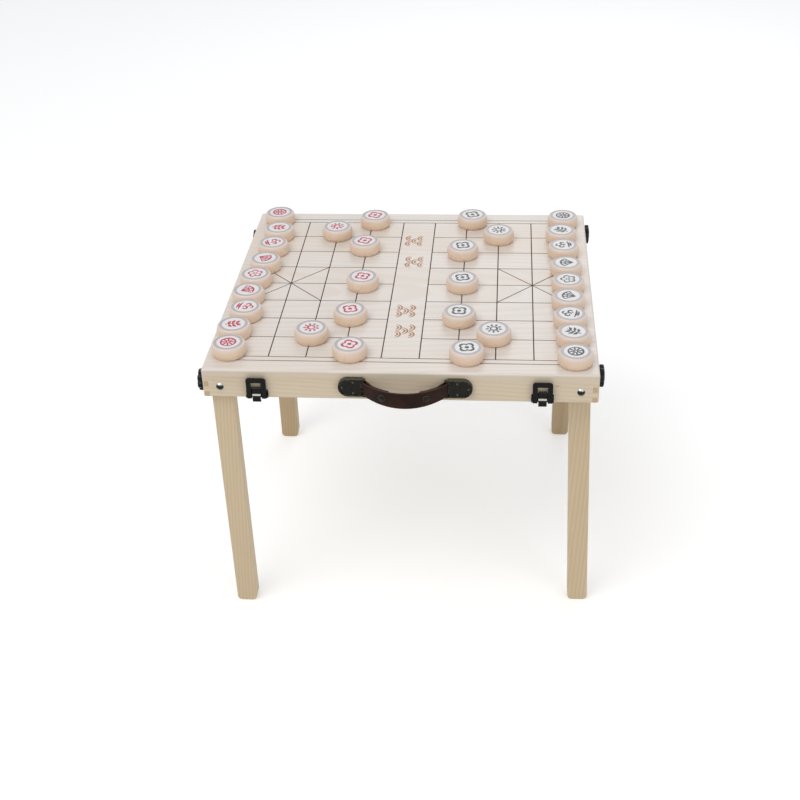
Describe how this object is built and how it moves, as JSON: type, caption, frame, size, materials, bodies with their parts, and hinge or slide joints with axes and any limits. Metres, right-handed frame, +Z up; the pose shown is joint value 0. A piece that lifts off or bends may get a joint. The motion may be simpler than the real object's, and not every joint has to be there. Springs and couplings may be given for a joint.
{
  "type": "folding chess box",
  "caption": "Folding wooden xiangqi box opened as a low table on four swing-out legs, with clamping knobs, toggle latches, a strap handle and playing pieces.",
  "frame": {"origin": "on the floor, midway between the four feet's outer limits: the middle of the object's box in X and Y", "axes": "+X to the right along the seam between the two trays, +Y to the rear, away from the handle and latches, +Z up"},
  "size_m": [0.5142, 0.502, 0.405],
  "materials": {
    "pine_panel": "satin clear lacquer on pale pine",
    "pine_wall": "satin clear lacquer on pale pine",
    "pine_leg": "satin clear lacquer on pale pine",
    "bright_steel": "polished",
    "plain_steel": "zinc plated",
    "brass_insert": "turned",
    "black_knob": "fine satin",
    "hinge_metal": "dull plated",
    "black_latch": "black satin",
    "antique_plate": "dark antique bronze",
    "brown_leather": "dark brown, waxed",
    "snap_metal": "dark nickel",
    "antique_nail": "aged",
    "beech_piece": "sanded, thinly lacquered"
  },
  "bodies": {
    "front_half": {"front_panel": "pine_panel", "front_wall": "pine_wall", "front_left_wall": "pine_wall", "front_right_wall": "pine_wall", "front_seam_wall": "pine_wall", "front_pivot_bolts": "bright_steel", "front_pivot_nuts": "plain_steel", "front_leg_spacer": "plain_steel", "front_knob_inserts": "brass_insert", "front_hinge_leaves": "hinge_metal", "front_hinge_screws": "hinge_metal", "hinge_pins": "hinge_metal", "left_latch_base": "black_latch", "right_latch_base": "black_latch", "latch_pivot_pins": "black_latch", "latch_screws": "black_latch", "left_handle_plate": "antique_plate", "right_handle_plate": "antique_plate", "handle_bars": "antique_plate", "handle_nails": "antique_nail"},
    "rear_half": {"rear_panel": "pine_panel", "rear_wall": "pine_wall", "rear_left_wall": "pine_wall", "rear_right_wall": "pine_wall", "rear_seam_wall": "pine_wall", "rear_pivot_bolts": "bright_steel", "rear_pivot_nuts": "plain_steel", "rear_leg_spacer": "plain_steel", "rear_knob_inserts": "brass_insert", "rear_hinge_leaves": "hinge_metal", "rear_hinge_screws": "hinge_metal", "latch_keepers": "black_latch", "keeper_screws": "black_latch"},
    "carrying_strap": {"handle_strap": "brown_leather", "handle_rivets": "snap_metal"},
    "front_left_leg_swing": {"front_left_leg": "pine_leg"},
    "front_left_stud_travel": {"front_left_stud": "plain_steel"},
    "front_left_knob_turn": {"front_left_knob": "black_knob"},
    "front_right_leg_swing": {"front_right_leg": "pine_leg"},
    "front_right_stud_travel": {"front_right_stud": "plain_steel"},
    "front_right_knob_turn": {"front_right_knob": "black_knob"},
    "rear_left_leg_swing": {"rear_left_leg": "pine_leg"},
    "rear_left_stud_travel": {"rear_left_stud": "plain_steel"},
    "rear_left_knob_turn": {"rear_left_knob": "black_knob"},
    "rear_right_leg_swing": {"rear_right_leg": "pine_leg"},
    "rear_right_stud_travel": {"rear_right_stud": "plain_steel"},
    "rear_right_knob_turn": {"rear_right_knob": "black_knob"},
    "left_lever_swing": {"left_latch_lever": "black_latch", "left_hook_pin": "black_latch"},
    "left_hook_swing": {"left_latch_hook": "black_latch"},
    "right_lever_swing": {"right_latch_lever": "black_latch", "right_hook_pin": "black_latch"},
    "right_hook_swing": {"right_latch_hook": "black_latch"},
    "red_front_set": {"red_pieces_front": "beech_piece"},
    "red_middle_set": {"red_pieces_middle": "beech_piece"},
    "red_rear_set": {"red_pieces_rear": "beech_piece"},
    "black_front_set": {"black_pieces_front": "beech_piece"},
    "black_middle_set": {"black_pieces_middle": "beech_piece"},
    "black_rear_set": {"black_pieces_rear": "beech_piece"}
  },
  "joints": [
    {"name": "fold", "type": "hinge", "parent": "front_half", "child": "rear_half", "pos_m": [0, 0.011, 0.348], "axis": [-1, 0, 0], "range_deg": [0, 140]},
    {"name": "strap_play", "type": "slide", "parent": "front_half", "child": "carrying_strap", "axis": [0, -1, 0], "range_m": [0, 0.0015]},
    {"name": "front_left_leg_fold", "type": "hinge", "parent": "front_half", "child": "front_left_leg_swing", "pos_m": [-0.2262, -0.2045, 0.363], "axis": [0, -1, 0], "range_deg": [0, 90]},
    {"name": "front_left_stud_screw", "type": "slide", "parent": "front_half", "child": "front_left_stud_travel", "axis": [-1, 0, 0], "range_m": [0, 0.003]},
    {"name": "front_left_knob_spin", "type": "hinge", "parent": "front_left_stud_travel", "child": "front_left_knob_turn", "pos_m": [-0.2485, -0.2045, 0.363], "axis": [-1, 0, 0], "range_deg": [0, 1080]},
    {"name": "front_right_leg_fold", "type": "hinge", "parent": "front_half", "child": "front_right_leg_swing", "pos_m": [0.2262, -0.1835, 0.363], "axis": [0, 1, 0], "range_deg": [0, 92]},
    {"name": "front_right_stud_screw", "type": "slide", "parent": "front_half", "child": "front_right_stud_travel", "axis": [1, 0, 0], "range_m": [0, 0.003]},
    {"name": "front_right_knob_spin", "type": "hinge", "parent": "front_right_stud_travel", "child": "front_right_knob_turn", "pos_m": [0.2485, -0.1835, 0.363], "axis": [1, 0, 0], "range_deg": [0, 1080]},
    {"name": "rear_left_leg_fold", "type": "hinge", "parent": "rear_half", "child": "rear_left_leg_swing", "pos_m": [-0.2262, 0.2055, 0.363], "axis": [0, -1, 0], "range_deg": [0, 90]},
    {"name": "rear_left_stud_screw", "type": "slide", "parent": "rear_half", "child": "rear_left_stud_travel", "axis": [-1, 0, 0], "range_m": [0, 0.003]},
    {"name": "rear_left_knob_spin", "type": "hinge", "parent": "rear_left_stud_travel", "child": "rear_left_knob_turn", "pos_m": [-0.2485, 0.2055, 0.363], "axis": [-1, 0, 0], "range_deg": [0, 1080]},
    {"name": "rear_right_leg_fold", "type": "hinge", "parent": "rear_half", "child": "rear_right_leg_swing", "pos_m": [0.2262, 0.2265, 0.363], "axis": [0, 1, 0], "range_deg": [0, 90]},
    {"name": "rear_right_stud_screw", "type": "slide", "parent": "rear_half", "child": "rear_right_stud_travel", "axis": [1, 0, 0], "range_m": [0, 0.003]},
    {"name": "rear_right_knob_spin", "type": "hinge", "parent": "rear_right_stud_travel", "child": "rear_right_knob_turn", "pos_m": [0.2485, 0.2265, 0.363], "axis": [1, 0, 0], "range_deg": [0, 1080]},
    {"name": "left_lever_pull", "type": "hinge", "parent": "front_half", "child": "left_lever_swing", "pos_m": [-0.179, -0.2266, 0.3515], "axis": [1, 0, 0], "range_deg": [0, 100]},
    {"name": "left_hook_turn", "type": "hinge", "parent": "left_lever_swing", "child": "left_hook_swing", "pos_m": [-0.179, -0.2266, 0.3631], "axis": [1, 0, 0], "range_deg": [-100, 0]},
    {"name": "right_lever_pull", "type": "hinge", "parent": "front_half", "child": "right_lever_swing", "pos_m": [0.179, -0.2266, 0.3515], "axis": [1, 0, 0], "range_deg": [0, 100]},
    {"name": "right_hook_turn", "type": "hinge", "parent": "right_lever_swing", "child": "right_hook_swing", "pos_m": [0.179, -0.2266, 0.3631], "axis": [1, 0, 0], "range_deg": [-100, 0]},
    {"name": "red_front_lift", "type": "slide", "parent": "front_half", "child": "red_front_set", "axis": [0, 0, 1], "range_m": [0, 0.06]},
    {"name": "red_middle_lift", "type": "slide", "parent": "front_half", "child": "red_middle_set", "axis": [0, 0, 1], "range_m": [0, 0.06]},
    {"name": "red_rear_lift", "type": "slide", "parent": "rear_half", "child": "red_rear_set", "axis": [0, 0, 1], "range_m": [0, 0.06]},
    {"name": "black_front_lift", "type": "slide", "parent": "front_half", "child": "black_front_set", "axis": [0, 0, 1], "range_m": [0, 0.06]},
    {"name": "black_middle_lift", "type": "slide", "parent": "front_half", "child": "black_middle_set", "axis": [0, 0, 1], "range_m": [0, 0.06]},
    {"name": "black_rear_lift", "type": "slide", "parent": "rear_half", "child": "black_rear_set", "axis": [0, 0, 1], "range_m": [0, 0.06]}
  ],
  "couplings": [
    {"joint": "front_left_leg_fold", "follows": "fold", "ratio": 0.64286},
    {"joint": "front_left_knob_spin", "follows": "front_left_stud_screw", "rad_per_m": 6283.2},
    {"joint": "front_right_leg_fold", "follows": "fold", "ratio": 0.65714},
    {"joint": "front_right_knob_spin", "follows": "front_right_stud_screw", "rad_per_m": 6283.2},
    {"joint": "rear_left_leg_fold", "follows": "fold", "ratio": 0.64286},
    {"joint": "rear_left_knob_spin", "follows": "rear_left_stud_screw", "rad_per_m": 6283.2},
    {"joint": "rear_right_leg_fold", "follows": "fold", "ratio": 0.64286},
    {"joint": "rear_right_knob_spin", "follows": "rear_right_stud_screw", "rad_per_m": 6283.2},
    {"joint": "left_hook_turn", "follows": "left_lever_pull", "ratio": -1},
    {"joint": "right_hook_turn", "follows": "right_lever_pull", "ratio": -1}
  ]
}
